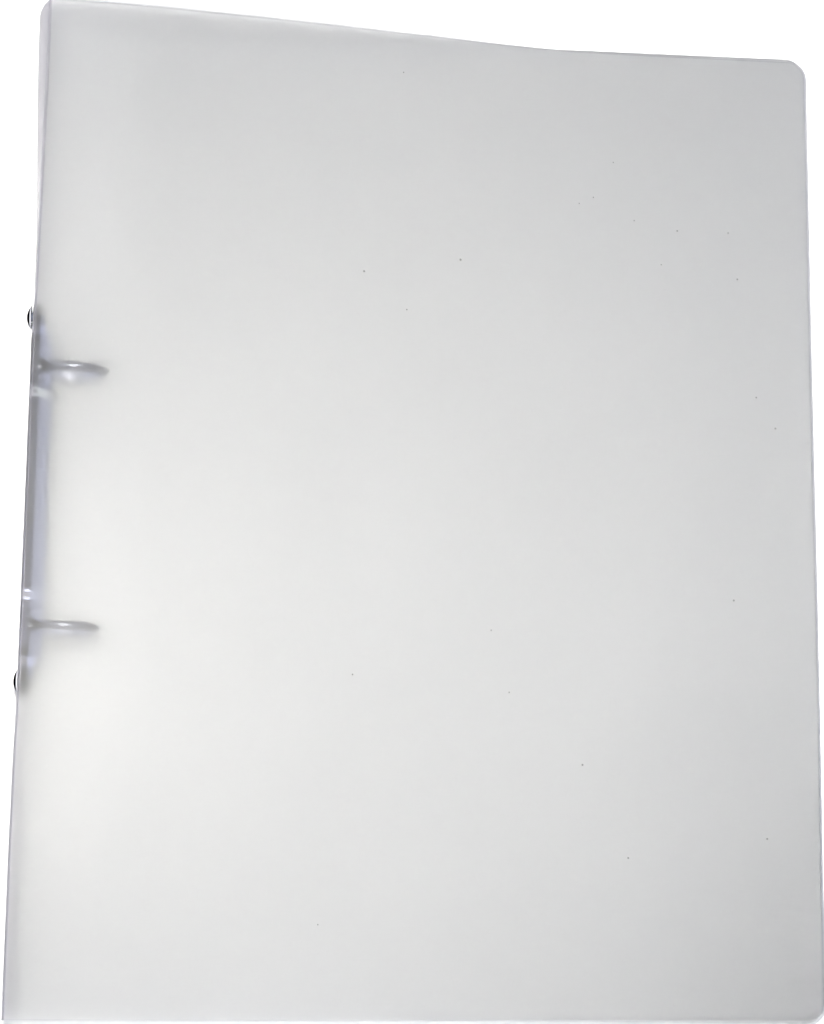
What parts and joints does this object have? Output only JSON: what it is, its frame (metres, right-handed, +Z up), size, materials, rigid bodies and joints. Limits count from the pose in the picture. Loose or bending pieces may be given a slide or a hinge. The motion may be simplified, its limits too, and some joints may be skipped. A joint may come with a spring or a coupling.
{
  "type": "ring binder",
  "caption": "Ring binder of frosted translucent plastic sheet, with covers hinged on pressed creases and a riveted metal ring mechanism whose rings part in the middle.",
  "frame": {"origin": "centre of the footprint, on the outer face of the back cover that the closed binder lies on", "axes": "+X from the spine to the free edge, +Y along the spine to the top edge, +Z up through the closed binder"},
  "size_m": [0.2514, 0.312, 0.025],
  "materials": {
    "frosted_sheet": "frosted translucent polypropylene with a fine matt grain",
    "housing_plate": "bright nickel plate on sheet steel",
    "blade_steel": "dull nickel plate on sheet steel",
    "ring_wire": "bright nickel plate on round wire",
    "rivet_metal": "polished nickel plate"
  },
  "bodies": {
    "back_cover": {"back_cover": "frosted_sheet", "back_crease": "frosted_sheet"},
    "spine": {"spine_panel": "frosted_sheet", "front_crease": "frosted_sheet", "ring_housing": "housing_plate", "spine_rivets": "rivet_metal"},
    "front_cover": {"front_cover": "frosted_sheet"},
    "front_ring_bar": {"front_blade": "blade_steel", "upper_front_ring": "ring_wire", "lower_front_ring": "ring_wire"},
    "back_ring_bar": {"back_blade": "blade_steel", "upper_back_ring": "ring_wire", "lower_back_ring": "ring_wire"}
  },
  "joints": [
    {"name": "back_hinge", "type": "hinge", "parent": "back_cover", "child": "spine", "pos_m": [-0.1236, 0, 0.0007], "axis": [0, -1, 0], "range_deg": [0, 90], "deforming": ["back_crease"]},
    {"name": "front_hinge", "type": "hinge", "parent": "spine", "child": "front_cover", "pos_m": [-0.1236, 0, 0.0243], "axis": [0, -1, 0], "range_deg": [0, 180], "deforming": ["front_crease"]},
    {"name": "front_blade_pivot", "type": "hinge", "parent": "spine", "child": "front_ring_bar", "pos_m": [-0.12165, 0, 0.01945], "axis": [0, -1, 0], "range_deg": [0, 12]},
    {"name": "back_blade_pivot", "type": "hinge", "parent": "spine", "child": "back_ring_bar", "pos_m": [-0.12165, 0, 0.00555], "axis": [0, -1, 0], "range_deg": [-12, 0]}
  ],
  "couplings": [
    {"joint": "back_blade_pivot", "follows": "front_blade_pivot", "ratio": -1}
  ]
}
